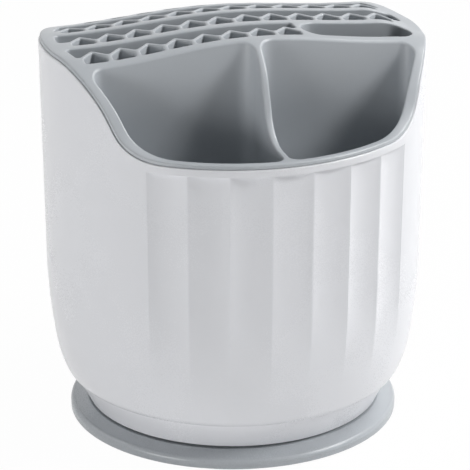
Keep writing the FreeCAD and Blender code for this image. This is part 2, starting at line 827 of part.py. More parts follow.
# Turntable base
plate_under = dim("base_top_z") - dim("base_plate_t")
base_disc = turned("base_disc", [
    (dim("bolt_r"), dim("hub_low_z")),
    (dim("hub_low_r"), dim("hub_low_z")),
    (dim("hub_low_r"), plate_under),
    (race_in, plate_under),
    (race_in, dim("race_low_z")),
    (race_out, dim("race_low_z")),
    (race_out, plate_under),
    (dim("base_flat_r"), plate_under),
    (dim("base_r") - dim("base_skirt_t"), dim("base_edge_z") - 0.4),
    (dim("base_r") - dim("base_skirt_t"), dim("base_z")),
    (dim("base_r"), dim("base_z")),
    (dim("base_r"), dim("base_edge_z")),
    (dim("base_shoulder_r"), dim("base_shoulder_z")),
    (dim("base_flat_r"), dim("base_top_z")),
    (race_out, dim("base_top_z")),
    (race_out, dim("base_top_z") - dim("race_step")),
    (race_in, dim("base_top_z") - dim("race_step")),
    (race_in, dim("base_top_z")),
    (dim("hub_r"), dim("base_top_z")),
    (dim("hub_r"), dim("hub_top_z")),
    (dim("bolt_r"), dim("hub_top_z")),
], arcs=(12,))
base_track = new_sketch(base_disc, "base_track", "XZ_Plane")
circle(base_track, dim("race_r"), dim("ball_z"), track_r)
groove(base_disc, "base_track_cut", base_track)
pad_top = dim("base_z") + 0.2
pad_sketch = new_sketch(base_disc, "pad_boss_outline", "XY_Plane", pad_top)
circle(pad_sketch, dim("pad_ring_r"), zero, dim("pad_boss_r"))
pad_boss = pad(base_disc, "pad_boss", pad_sketch, plate_under - pad_top + 0.3)
doc.recompute()
polar(base_disc, "pad_bosses", pad_boss, pad_sketch, PADS)
doc.recompute()
rib_sketch = new_sketch(base_disc, "base_rib_outline", "XY_Plane", dim("hub_low_z"))
rib_half = dim("base_rib_t") / 2.0
rib_in = dim("hub_low_r") - 1.0
rib_out = dim("base_r") - dim("base_skirt_t") - 2.4
outline(rib_sketch, [(rib_in, zero - rib_half), (rib_out, zero - rib_half), (rib_out, rib_half), (rib_in, rib_half)])
rib_sketch.AttachmentOffset = FreeCAD.Placement(rib_sketch.AttachmentOffset.Base, FreeCAD.Rotation(vec(0, 0, 1), 15.0))
base_rib = pad(base_disc, "base_rib", rib_sketch, plate_under - dim("hub_low_z") + 0.2)
doc.recompute()
polar(base_disc, "base_ribs", base_rib, rib_sketch, BASE_RIBS)
doc.recompute()
seat_sketch = new_sketch(base_disc, "pad_seat_outline", "XY_Plane", pad_top)
circle(seat_sketch, dim("pad_ring_r"), zero, dim("pad_r") + dim("pad_gap"))
pad_seat = pocket(base_disc, "pad_seat", seat_sketch, dim("pad_h") - pad_top, True)
polar(base_disc, "pad_seats", pad_seat, seat_sketch, PADS)
doc.recompute()

# Rubber feet
feet = []
for k in range(PADS):
    angle = 2.0 * math.pi * k / PADS
    feet.append(cylinder("rubber_foot_%d" % (k + 1), dim("pad_r"), dim("pad_h"),
                         vec(size("pad_ring_r") * math.cos(angle), size("pad_ring_r") * math.sin(angle))))
rubber_feet = doc.addObject("Part::Compound", "rubber_feet")
rubber_feet.Links = feet

# Balls and their cage
balls = []
for k in range(BALLS):
    angle = 2.0 * math.pi * k / BALLS
    ball = doc.addObject("Part::Sphere", "ball_%d" % (k + 1))
    ball.setExpression("Radius", "Sizes.ball_r")
    ball.Placement.Base = vec(size("race_r") * math.cos(angle), size("race_r") * math.sin(angle), size("ball_z"))
    balls.append(ball)
bearing_balls = doc.addObject("Part::Compound", "bearing_balls")
bearing_balls.Links = balls
cage_in = dim("race_r") - dim("cage_half_w")
cage_out = dim("race_r") + dim("cage_half_w")
cage_low = dim("ball_z") - dim("cage_t") / 2.0
cage_high = dim("ball_z") + dim("cage_t") / 2.0
ball_cage = turned("ball_cage", [(cage_in, cage_low), (cage_out, cage_low), (cage_out, cage_high), (cage_in, cage_high)])
cage_sketch = new_sketch(ball_cage, "cage_hole_outline", "XY_Plane", cage_high)
circle(cage_sketch, dim("race_r"), zero, dim("ball_r") + dim("cage_gap"))
cage_hole = pocket(ball_cage, "cage_hole", cage_sketch, dim("cage_t"))
polar(ball_cage, "cage_holes", cage_hole, cage_sketch, BALLS)
doc.recompute()

# Pivot bolt and washer
washer_top = dim("hub_top_z") + dim("washer_t")
pivot_bolt = turned("pivot_bolt", [
    (zero, dim("bolt_low_z")),
    (dim("bolt_r"), dim("bolt_low_z")),
    (dim("bolt_r"), washer_top),
    (dim("bolt_head_r"), washer_top),
    (dim("bolt_head_r"), washer_top + dim("bolt_head_h") * 0.6),
    (dim("bolt_head_r") * 0.7, washer_top + dim("bolt_head_h")),
    (zero, washer_top + dim("bolt_head_h")),
])
pivot_washer = turned("pivot_washer", [
    (dim("bolt_r") + 0.15, dim("hub_top_z")),
    (dim("washer_r"), dim("hub_top_z")),
    (dim("washer_r"), washer_top),
    (dim("bolt_r") + 0.15, washer_top),
])
doc.recompute()

NODES = {
    "outer_barrel": outer_barrel,
    "foot_ring": foot_ring,
    "foot_screws": foot_screws,
    "cutlery_cups": cutlery_cups,
    "knife_deck": knife_deck,
    "base_disc": base_disc,
    "rubber_feet": rubber_feet,
    "ball_cage": ball_cage,
    "bearing_balls": bearing_balls,
    "pivot_bolt": pivot_bolt,
    "pivot_washer": pivot_washer,
}
failed = [item.Name for item in doc.Objects if "Invalid" in item.State or "Error" in item.State]
if failed:
    raise RuntimeError("these did not build: %s" % ", ".join(failed))
os.makedirs("parts", exist_ok=True)
for label, item in NODES.items():
    item.Label = label
    shape = item.Shape
    if shape.isNull() or not shape.isValid():
        raise RuntimeError("%s has no valid shape" % label)
    shape.exportStep("parts/%s.step" % label)
    box = shape.BoundBox
    print("%-14s solids %2d volume %9.0f  x %.1f..%.1f y %.1f..%.1f z %.1f..%.1f" % (
        label, len(shape.Solids), shape.Volume, box.XMin, box.XMax, box.YMin, box.YMax, box.ZMin, box.ZMax))
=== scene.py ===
# %% [markdown]
# # A utensil holder on a turntable
#
# The holder is a white glossy barrel with a grey insert. The insert has two cups in front and an
# arched deck with rows of slots behind. A grey disc below carries the barrel on a ring of balls.
#
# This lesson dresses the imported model. The plain pieces keep their solids and get a finish. The two
# pieces whose edges and curves matter most, the barrel and the insert, are drawn again as fine meshes.
# Their sizes are in millimetres and become metres only when a mesh is made.

# %% Load the frame
import bpy
import math
import numpy as np
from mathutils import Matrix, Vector
from mathutils.geometry import delaunay_2d_cdt


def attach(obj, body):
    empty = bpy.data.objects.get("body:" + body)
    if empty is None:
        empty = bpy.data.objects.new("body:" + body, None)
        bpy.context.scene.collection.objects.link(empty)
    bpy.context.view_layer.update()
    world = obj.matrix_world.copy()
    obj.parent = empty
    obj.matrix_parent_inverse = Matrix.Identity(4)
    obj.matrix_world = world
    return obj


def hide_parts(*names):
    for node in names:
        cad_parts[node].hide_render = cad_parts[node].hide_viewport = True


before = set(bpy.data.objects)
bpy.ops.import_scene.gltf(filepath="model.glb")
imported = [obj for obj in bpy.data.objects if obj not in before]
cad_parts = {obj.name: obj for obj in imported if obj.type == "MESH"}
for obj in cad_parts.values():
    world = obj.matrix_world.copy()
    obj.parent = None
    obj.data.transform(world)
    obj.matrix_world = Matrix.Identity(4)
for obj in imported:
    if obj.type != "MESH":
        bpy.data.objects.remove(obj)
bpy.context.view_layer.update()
MM = 0.001
FULL_TURN = 2 * math.pi
print("nodes:", sorted(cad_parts))

# %% [markdown]
# ## The crown
#
# The top of the insert and the rim of the barrel follow one surface. It is level at the front, climbs a
# ramp, runs over an arch that is highest in the middle, and falls away at the back. Its right shoulder
# hangs a little lower than the left one.
#
# Such a surface could be modelled as a patch and every edge projected onto it. Here it is a function
# of x and y instead. Each piece that touches the crown asks it for a height, so nothing has to be
# fitted by eye.

# %% Height of the top surface
CROWN_Z = 176.4                                     # top of the arch
ARCH_DROP = 4.2                                     # from the middle of the arch to its sides
ARCH_HALF = 72.0
FALL_Y = 1.0                                        # where the fall to the back starts
FALL_R = 147.0
FRONT_Z = 139.55                                    # level lip in front
RAMP_Z = 150.0                                      # height at which the ramp's place is given
RAMP_FOOT_R = 17.5
RAMP_MIDDLE = (-49.7, math.radians(68.0), 21.5)     # place, slope and radius of the head
RAMP_SIDE = (-49.2, math.radians(62.0), 36.0)
SHOULDER_DROP = 4.2
SHOULDER_RIGHT = (62.0, 80.0)                       # the drop grows over these limits
SHOULDER_FRONT = (-38.0, -12.0)
SHOULDER_BACK = (8.0, 46.0)                         # and ends over these


def ease(value, start, end):
    """Smooth step from 0 at start to 1 at end."""
    t = np.clip((value - start) / (end - start), 0, 1)
    return t * t * (3 - 2 * t)


def crown(x, y):
    """Height of the lip and deck above the floor."""
    x, y = np.asarray(x, float), np.asarray(y, float)
    # the arch, and the ramp between its middle and its sides
    side = (1 - np.cos(np.pi * np.minimum(np.abs(x) / ARCH_HALF, 1))) / 2
    top = CROWN_Z - ARCH_DROP * side
    ramp_y, angle, head_r = (a + (b - a) * side for a, b in zip(RAMP_MIDDLE, RAMP_SIDE))
    slope, lean = np.tan(angle), np.cos(angle)
    foot = ramp_y - (RAMP_Z - FRONT_Z) / slope
    head = ramp_y + (top - RAMP_Z) / slope
    foot_run = RAMP_FOOT_R * np.tan(angle / 2)
    head_run = head_r * np.tan(angle / 2)
    # from front to back: level lip, hollow, ramp, brow, arch
    z = FRONT_Z + (y - foot) * slope
    z = np.where(y < foot - foot_run, FRONT_Z, z)
    in_hollow = (y >= foot - foot_run) & (y < foot + foot_run * lean)
    hollow = np.sqrt(np.maximum(RAMP_FOOT_R ** 2 - (y - foot + foot_run) ** 2, 0))
    z = np.where(in_hollow, FRONT_Z + RAMP_FOOT_R - hollow, z)
    in_brow = (y >= head - head_run * lean) & (y < head + head_run)
    brow = np.sqrt(np.maximum(head_r ** 2 - (y - head - head_run) ** 2, 0))
    z = np.where(in_brow, top - head_r + brow, z)
    z = np.where(y >= head + head_run, top, z)
    # the lower right shoulder, and the fall to the back
    along = ease(y, *SHOULDER_FRONT) * (1 - ease(y, *SHOULDER_BACK))
    shoulder = SHOULDER_DROP * ease(x, *SHOULDER_RIGHT) * along
    return z - shoulder - FALL_R + np.sqrt(FALL_R ** 2 - np.maximum(y - FALL_Y, 0) ** 2)


print("crown at the front %.1f, middle %.1f, back %.1f mm" % (crown(0, -80), crown(0, 0), crown(0, 80)))

# %% [markdown]
# ## Meshes from grids
#
# Most surfaces here are rows of points that close on themselves, like the work of a lathe. Blender's
# Screw modifier could spin an outline, but it can't follow a rim that dips or flutes that fade. So a
# small class collects rows of points, puts quads between them, joins the points that share a place and
# marks the sharp edges.


# %% Mesh helpers
class Skin:
    """Collects points and faces and makes one object of them."""

    def __init__(self):
        self.points = []
        self.faces = []

    def add_points(self, pts):
        """Adds points and gives the number of the first."""
        start = len(self.points)
        self.points.extend(np.asarray(pts, float).reshape(-1, 3).tolist())
        return start

    def rings(self, rows, closed=True, flip=False):
        """Quads between neighbouring rows of points."""
        rows = np.asarray(rows, float)
        count = rows.shape[1]
        start = self.add_points(rows)
        last = count if closed else count - 1
        for i in range(len(rows) - 1):
            for j in range(last):
                a = start + i * count + j
                b = start + i * count + (j + 1) % count
                quad = [a, b, b + count, a + count]
                self.faces.append(quad[::-1] if flip else quad)

    def cap(self, ring, flip=False):
        """One face over a ring of points."""
        start = self.add_points(ring)
        face = list(range(start, start + len(ring)))
        self.faces.append(face[::-1] if flip else face)

    def make(self, name, body, nodes, sharp_deg, weld=0.004):
        """The finished object, riding on its body in place of the named nodes."""
        mesh = bpy.data.meshes.new(name)
        pts, index = weld_points(np.array(self.points), weld)
        faces = []
        for f in self.faces:
            f = [int(index[k]) for k in f]
            f = [k for i, k in enumerate(f) if k != f[i - 1]]
            if len(f) > 2:
                faces.append(f)
        mesh.from_pydata((pts * MM).tolist(), [], faces)
        mesh.validate()
        mesh.polygons.foreach_set("use_smooth", [True] * len(mesh.polygons))
        mesh.set_sharp_from_angle(angle=math.radians(sharp_deg))
        piece = bpy.data.objects.new(name, mesh)
        bpy.context.scene.collection.objects.link(piece)
        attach(piece, body)
        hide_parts(*nodes)
        print("%s: %d points, %d faces" % (name, len(mesh.vertices), len(mesh.polygons)))
        return piece


def weld_points(pts, tolerance):
    """Joins points that share a place, and gives the new number of each old point."""
    keys = np.round(pts / tolerance).astype(np.int64)
    _, first, index = np.unique(keys, axis=0, return_index=True, return_inverse=True)
    return pts[first], index.reshape(-1)


def ring_of(radius, height, angles):
    """Points round the axis; angle 0 is the front and it grows to the viewer's right."""
    r = np.broadcast_to(radius, angles.shape)
    z = np.broadcast_to(height, angles.shape)
    return np.stack([r * np.sin(angles), -r * np.cos(angles), z], -1)


def lift(plan, height):
    """Plan points with a height: one for all of them, or one for each."""
    return np.column_stack([plan, np.broadcast_to(height, len(plan))])


# %% [markdown]
# ## Loops
#
# The deck and the floors are plates with openings. A boolean for each opening would be quick to write,
# but it leaves ragged edges that shade badly. So every opening is first drawn as a plan outline: a
# closed loop of points that runs anticlockwise seen from above. The helpers below round the corners of
# a loop, divide its long sides, move it outward or inward, and tell which points lie inside it.

# %% Loop helpers
NEARLY_STRAIGHT = math.radians(84)                  # half the angle of a corner that needs no rounding
SIDE_SHARE = 0.45                                   # most of a side that one rounded corner may use
LEAST_MITRE = 0.4                                   # keeps an offset corner from running away


def arc_points(centre, radius, start, turn, step=0.3):
    """Points along an arc, both ends included."""
    steps = max(2, int(math.ceil(abs(turn) / step)))
    a = start + turn * np.arange(steps + 1) / steps
    return np.stack([centre[0] + radius * np.cos(a), centre[1] + radius * np.sin(a)], -1)


def circle_loop(centre, radius, count):
    """A round opening."""
    a = np.linspace(0, FULL_TURN, count + 1)[:-1]
    return radius * np.stack([np.cos(a), np.sin(a)], -1) + centre


def short_turn(start, end):
    """The way from one angle to another that is at most half a turn."""
    return (end - start + math.pi) % FULL_TURN - math.pi


def rounded_loop(corners, radius):
    """Loop through the corners with each one rounded, less where a side is short."""
    corners = np.asarray(corners, float)
    radii = np.broadcast_to(radius, len(corners))
    runs = []
    for i, p in enumerate(corners):
        a, b = corners[i - 1] - p, corners[(i + 1) % len(corners)] - p
        la, lb = np.linalg.norm(a), np.linalg.norm(b)
        a, b = a / la, b / lb
        half = math.acos(np.clip(a @ b, -1, 1)) / 2
        if half > NEARLY_STRAIGHT:
            runs.append(p[None])
            continue
        run = min(radii[i] / math.tan(half), SIDE_SHARE * la, SIDE_SHARE * lb)
        r = run * math.tan(half)
        centre = p + (a + b) / np.linalg.norm(a + b) * r / math.sin(half)
        start, end = p + a * run - centre, p + b * run - centre
        a0 = math.atan2(start[1], start[0])
        turn = short_turn(a0, math.atan2(end[1], end[0]))
        runs.append(arc_points(centre, r, a0, turn))
    return np.concatenate(runs)


def with_steps(loop, step):
    """The same loop with its long straight runs divided."""
    out = []
    for p, q in zip(loop, np.roll(loop, -1, 0)):
        count = max(1, int(math.ceil(np.linalg.norm(q - p) / step)))
        out.append(p + (q - p) * (np.arange(count) / count)[:, None])
    return np.concatenate(out)


def offset_loop(loop, distance):
    """The loop moved outward by a distance, or inward where it is negative."""
    ahead = np.roll(loop, -1, 0) - loop
    ahead /= np.linalg.norm(ahead, axis=1)[:, None]
    side = np.stack([ahead[:, 1], -ahead[:, 0]], -1)
    both = side + np.roll(side, 1, 0)
    both /= np.linalg.norm(both, axis=1)[:, None]
    return loop + both * (distance / np.maximum((both * side).sum(1), LEAST_MITRE))[:, None]


def in_loop(points, loop):
    """True for each point inside the loop."""
    inside = np.zeros(len(points), bool)
    for (x0, y0), (x1, y1) in zip(loop, np.roll(loop, -1, 0)):
        if y0 == y1:
            continue
        crosses = (y0 > points[:, 1]) != (y1 > points[:, 1])
        inside ^= crosses & (points[:, 0] < x0 + (points[:, 1] - y0) * (x1 - x0) / (y1 - y0))
    return inside


# %% [markdown]
# ## Filling a plate between its loops
#
# The face of a plate lies between its outer loop and its openings. One big polygon could fill it, but
# that can't bend. A constrained Delaunay fill takes the loops as fixed edges, and extra points in
# between let the face follow the crown. Each opening then gets a few rows that turn over its edge,
# because a moulded edge is never sharp.

# %% Plate helpers
CLEAR_SHARE = 0.55                                  # free room round an extra point, against the spacing
FILL_TOLERANCE = 1e-5


def plate_face(skin, outer, holes, height, spacing=3.2, flip=False):
    """Triangles between the loops, lifted to a height."""
    loops = [outer] + list(holes)
    flat = np.concatenate(loops)
    edges = []
    start = 0
    for loop in loops:
        edges += [(start + i, start + (i + 1) % len(loop)) for i in range(len(loop))]
        start += len(loop)
    # extra points on a square grid, away from the loops
    low, high = outer.min(0), outer.max(0)
    across = np.arange(low[0] + 1, high[0], spacing)
    along = np.arange(low[1] + 1, high[1], spacing)
    extra = np.stack(np.meshgrid(across, along), -1).reshape(-1, 2)
    gap = np.array([np.min(np.hypot(*(flat - p).T)) for p in extra])
    flat = np.concatenate([flat, extra[gap > CLEAR_SHARE * spacing]])
    # the fill, with the exact places of the points that went in
    out = delaunay_2d_cdt([Vector(p) for p in flat], edges, [], 0, FILL_TOLERANCE)
    source = [ids[0] if ids else None for ids in out[3]]
    pts = np.array([flat[s] if s is not None else tuple(v) for s, v in zip(source, out[0])])
    tris = np.array([f for f in out[2] if len(f) == 3])
    # only the triangles on the plate stay, all turned the same way
    middle = pts[tris].mean(1)
    keep = in_loop(middle, outer)
    for loop in holes:
        keep &= ~in_loop(middle, loop)
    first = skin.add_points(lift(pts, height(pts)))
    for f in tris[keep]:
        a, b, c = pts[f]
        area = (b[0] - a[0]) * (c[1] - a[1]) - (b[1] - a[1]) * (c[0] - a[0])
        f = [first + int(i) for i in f]
        skin.faces.append(f[::-1] if (area < 0) != flip else f)


def crown_at(pts):
    """Height of the crown over plan points."""
    return crown(pts[:, 0], pts[:, 1])


def level(z):
    """A flat plate's height, for plate_face."""
    return lambda pts: np.full(len(pts), z)


def edge_rows(loop, turn_r, sign, steps=4):
    """Rows that turn from the plate's face down into an opening, or over its outer edge with sign -1."""
    rows = []
    for k in range(steps + 1):
        a = math.pi / 2 * k / steps
        ring = offset_loop(loop, sign * turn_r * (1 - math.sin(a)))
        rows.append(lift(ring, crown_at(ring) - turn_r * (1 - math.cos(a))))
    return rows


# %% [markdown]
# ## The outline of the barrel
#
# The barrel is one moulding: a wall with a slight draft, and a bowl below that narrows to the foot. A
# curve object could hold the outline, but the mesh needs a radius for any height. So three arcs, each
# leaving the last one without a kink, are worked out as points, and a function reads between them.

# %% Barrel outline
WALL_LOW = (80.65, 73.0)                            # radius and height where the wall meets the bowl
WALL_TOP = (82.2, 187.0)
WALL_LEAN = (WALL_TOP[0] - WALL_LOW[0]) / (WALL_TOP[1] - WALL_LOW[1])
BOWL = ((77.4, 36.2), (73.7, 23.7), (70.7, 20.3))   # ends of the three arcs
BOWL_STEPS = (30, 14, 8)


def tangent_run(start, heading, end, steps):
    """Points of the arc that leaves start along heading and stops at end, and its heading there."""
    start, heading, end = Vector(start), Vector(heading).normalized(), Vector(end)
    chord = end - start
    normal = Vector((-heading.y, heading.x))
    radius = chord.dot(chord) / (2 * chord.dot(normal))
    centre = start + normal * radius
    spin = 1 if radius > 0 else -1
    a0 = math.atan2(start.y - centre.y, start.x - centre.x)
    a1 = math.atan2(end.y - centre.y, end.x - centre.x)
    turn = spin * ((spin * (a1 - a0)) % FULL_TURN)
    angles = [a0 + turn * k / steps for k in range(1, steps + 1)]
    pts = [centre + abs(radius) * Vector((math.cos(a), math.sin(a))) for a in angles]
    leave = Vector((centre.y - end.y, end.x - centre.x)) * spin
    return [tuple(p) for p in pts], leave


bowl_line = [WALL_LOW]
heading = (-WALL_LEAN, -1)
for stop, steps in zip(BOWL, BOWL_STEPS):
    run, heading = tangent_run(bowl_line[-1], heading, stop, steps)
    bowl_line += run
bowl_line = np.array(bowl_line[::-1])


def wall_radius(z):
    """Outer radius of the plain barrel at a height."""
    low = np.interp(z, bowl_line[:, 1], bowl_line[:, 0])
    return np.where(z > WALL_LOW[1], WALL_LOW[0] + WALL_LEAN * (z - WALL_LOW[1]), low)


print("bowl from radius %.1f to %.1f mm" % (bowl_line[0, 0], bowl_line[-1, 0]))

# %% [markdown]
# ## The flutes
#
# Seven shallow flutes stand side by side in front. Their ridges are slightly rounded, and they fade out
# down the bowl. Round cutters and a boolean would end them in hard points. Here a function gives the
# depth of the groove at any angle, the last bit before a ridge is bent over into a crest, and the whole
# depth eases to nothing with the height.

# %% Flutes
FLUTES = 7
FLUTE_PITCH = math.radians(12.25)
FLUTE_TURN = math.radians(1.25)                     # middle of the flutes, right of the front
FLUTE_R = 29.0
FLUTE_DEPTH = 1.85
FLUTE_TOP = 134.5                                   # the flutes stop at a small ledge here
FLUTE_FADE = (34.0, 78.0)                           # heights over which they fade
RIDGE_ROUND = math.radians(0.4)                     # each side of a ridge
HALF_PITCH = FLUTE_PITCH / 2
CREST_START = HALF_PITCH - RIDGE_ROUND
TINY = 0.0005                                       # step for a slope, in radians


def flute_depth(off):
    """Depth of a flute at an angle from its middle."""
    edge = WALL_LOW[0] + WALL_LEAN * (FLUTE_TOP - WALL_LOW[1])
    centre = edge - FLUTE_DEPTH + FLUTE_R
    inside = FLUTE_R ** 2 - (centre * np.sin(off)) ** 2
    groove = centre * np.cos(off) - np.sqrt(np.maximum(inside, 0))
    return np.where(inside > 0, np.maximum(edge - groove, 0), 0)


def fluted_radius(angles, z):
    """Outer radius with the flutes cut in."""
    number = np.clip(np.round((angles - FLUTE_TURN) / FLUTE_PITCH), -(FLUTES // 2), FLUTES // 2)
    off = np.abs(angles - FLUTE_TURN - number * FLUTE_PITCH)
    slope = (flute_depth(CREST_START + TINY) - flute_depth(CREST_START - TINY)) / (2 * TINY)
    share = np.clip((off - CREST_START) / RIDGE_ROUND, 0, 2)
    crest = flute_depth(CREST_START) + slope * RIDGE_ROUND * (share - share * share / 2)
    on_crest = (off > CREST_START) & (off <= HALF_PITCH)
    depth = np.where(on_crest, crest, flute_depth(off))
    return wall_radius(z) - depth * ease(z, *FLUTE_FADE)


print("flute depth in the middle %.2f, at a ridge %.2f mm" % (flute_depth(0), flute_depth(HALF_PITCH)))

# %% [markdown]
# ## The grid of the barrel
#
# A grid with even steps would miss the ridges or need far too many points. So the angles follow the
# flutes: eleven steps on each half of a flute, the last three close together at the ridge, and even
# steps round the plain back.

# %% Angles round the barrel
FLUTE_STEPS = 8                                     # from the middle of a flute to the crest
CREST_SHARES = np.array([0.66, 0.33])               # points on the crest, measured from the ridge
PLAIN_STEPS = 230                                   # round the plain back

near_ridge = HALF_PITCH - RIDGE_ROUND * CREST_SHARES
half_flute = np.concatenate([np.linspace(0, CREST_START, FLUTE_STEPS + 1), near_ridge])
one_flute = np.concatenate([-half_flute[:0:-1], half_flute, [HALF_PITCH]])
flute_middles = [(k - FLUTES // 2) * FLUTE_PITCH for k in range(FLUTES)]
flute_span = FLUTES * FLUTE_PITCH / 2
front_angles = [[-flute_span]] + [one_flute + middle for middle in flute_middles]
rest_angles = np.linspace(flute_span, FULL_TURN - flute_span, PLAIN_STEPS + 1)[1:-1]
barrel_angles = np.concatenate(front_angles + [rest_angles]) + FLUTE_TURN
barrel_angles = np.where(barrel_angles > math.pi, barrel_angles - FULL_TURN, barrel_angles)
print("points in each ring of the barrel:", len(barrel_angles))

# %% [markdown]
# ## Wall, rim and inside
#
# The rim dips at the front, so a barrel cut off level and trimmed would get slivers along its edge. Here
# the rows climb the bowl and the fluted wall at fixed heights, and above the flutes they stretch to
# meet the rim. Then they turn over its rounded edge and go down the inside to the floor.

# %% Wall, rim and inside
WALL_T = 2.2
RIM_R = 81.6                                        # where the rim asks the crown for its height
RIM_DROP = 1.8                                      # from the crown down to the rim
RIM_ROUND = 0.7                                     # outer edge of the rim
RIM_BREAK = 0.4                                     # small chamfer at its inner edge
FLOOR_TOP = 22.7
INNER_BOWL = ((75.2, 36.2), (71.5, 25.5), (68.0, FLOOR_TOP))
WALL_ROWS, UPPER_ROWS, RIM_ROWS, INNER_ROWS = 52, 30, 5, 15
WALL_START = WALL_LOW[1] + 1.2                      # first row above the bowl


def barrel_ring(radius, z):
    return ring_of(radius, z, barrel_angles)


rim_z = crown(RIM_R * np.sin(barrel_angles), -RIM_R * np.cos(barrel_angles)) - RIM_DROP
heights = np.concatenate([bowl_line[:, 1], np.linspace(WALL_START, FLUTE_TOP, WALL_ROWS)])
barrel_rows = [barrel_ring(fluted_radius(barrel_angles, z), z) for z in heights]
for k in range(UPPER_ROWS + 1):
    z = FLUTE_TOP + (rim_z - RIM_ROUND - FLUTE_TOP) * k / UPPER_ROWS
    barrel_rows.append(barrel_ring(wall_radius(z), z))
for k in range(1, RIM_ROWS + 1):
    a = math.pi / 2 * k / RIM_ROWS
    z = rim_z - RIM_ROUND + RIM_ROUND * math.sin(a)
    barrel_rows.append(barrel_ring(wall_radius(z) - RIM_ROUND * (1 - math.cos(a)), z))
barrel_rows.append(barrel_ring(wall_radius(rim_z) - WALL_T + RIM_BREAK, rim_z))
barrel_rows.append(barrel_ring(wall_radius(rim_z) - WALL_T, rim_z - RIM_BREAK))
for share in np.linspace(1, 0, INNER_ROWS + 1)[1:]:
    z = WALL_LOW[1] + (rim_z - RIM_BREAK - WALL_LOW[1]) * share
    barrel_rows.append(barrel_ring(wall_radius(z) - WALL_T, z))
barrel_rows += [barrel_ring(r, z) for r, z in INNER_BOWL]
barrel_skin = Skin()
barrel_skin.rings(barrel_rows)
print("rows from the foot over the rim to the floor:", len(barrel_rows))

# %% [markdown]
# ## The floor of the barrel
#
# Four countersunk screws hold the foot to the floor. The floor is hidden under the insert, but the
# insert can be lifted out, so the holes are real. The upper and lower faces are two flat plates whose
# openings differ in size, and each hole is three rings: the wide edge, the end of the cone, the bore.

# %% Barrel floor
FLOOR_UNDER = 20.3
SCREW_RING = 55.0
SCREW_TURNS = (45, 135, 225, 315)
SINK_R, SINK_DEPTH = 3.1, 1.6
BORE_R = 1.6
HOLE_POINTS = 32
FLAT_SPACING = 12.0                                 # extra points of a flat plate can be far apart

screw_spots = [SCREW_RING * np.array([math.cos(a), math.sin(a)]) for a in np.radians(SCREW_TURNS)]
sinks = [circle_loop(spot, SINK_R, HOLE_POINTS) for spot in screw_spots]
bores = [circle_loop(spot, BORE_R, HOLE_POINTS) for spot in screw_spots]
plate_face(barrel_skin, barrel_rows[-1][:, :2], sinks, level(FLOOR_TOP), spacing=FLAT_SPACING)
plate_face(barrel_skin, barrel_rows[0][:, :2], bores, level(FLOOR_UNDER), spacing=FLAT_SPACING, flip=True)
for sink, bore in zip(sinks, bores):
    barrel_skin.rings([lift(sink, FLOOR_TOP), lift(bore, FLOOR_TOP - SINK_DEPTH), lift(bore, FLOOR_UNDER)])
barrel = barrel_skin.make("barrel_shell", "barrel", ["outer_barrel"], sharp_deg=24.0)

# %% [markdown]
# ## Openings of the knife deck
#
# The rear half of the insert is a deck with rows of small gabled cells, like a line of houses seen from
# above. Behind each row runs a long slot whose front edge follows the gables, so a rib of even
# thickness is left between them. One wide slot with round ends takes the place of four cells in the
# first row. An array modifier could repeat a cell, but the slots end on a round border and each row is
# different, so every opening is worked out from the pitch.

# %% Cells and slots
ROW_Y = -25.8                                       # front edge of the first row
ROW_PITCH = 21.0
ROW_CELLS = ((12, 8), (12, 12), (12, 12), (10, 10))  # places in each row, and cells that fill them
CELL_PITCH = 11.83
CELL_LAND = 2.2                                     # between two cells
CELL_EAVE = 3.8
CELL_APEX = 9.0
CELL_ROUND = 0.8
RIB_T = 2.5                                         # between a gable and the slot behind it
BAR_T = 4.4                                         # between a slot and the next row
BORDER_R = 75.4
VALLEY_SHARE = 0.45                                 # of the land, by which a slot comes forward between gables
BAND_REACH = 4.5                                    # of a long slot past the last place
BAND_ROUND = 1.25
BAND_END_ROUND = 2.4
BAND_END_ZONE = 2.0                                 # corners this near an end count as part of it
GABLE_SLOPE = 0.9                                   # of a slot's edge down its last gable
LEAST_SIDE = 0.3                                    # corners nearer than this are one
TOOL_SLOT_X = 25.0
TOOL_SLOT_BACK = -9.5
TOOL_SLOT_GAP = 0.4                                 # to the border
TOOL_SLOT_ROUND = 0.9                               # radius of its ends, against half its width
DECK_STEP = 1.6


def border_x(y):
    """Half the width inside the round border."""
    return math.sqrt(BORDER_R ** 2 - y ** 2)


def cell_loop(x, y):
    """One gabled cell."""
    half = (CELL_PITCH - CELL_LAND) / 2
    eave = y + CELL_EAVE
    gable = [(x - half, y), (x + half, y), (x + half, eave), (x, y + CELL_APEX), (x - half, eave)]
    return with_steps(rounded_loop(gable, CELL_ROUND), DECK_STEP)


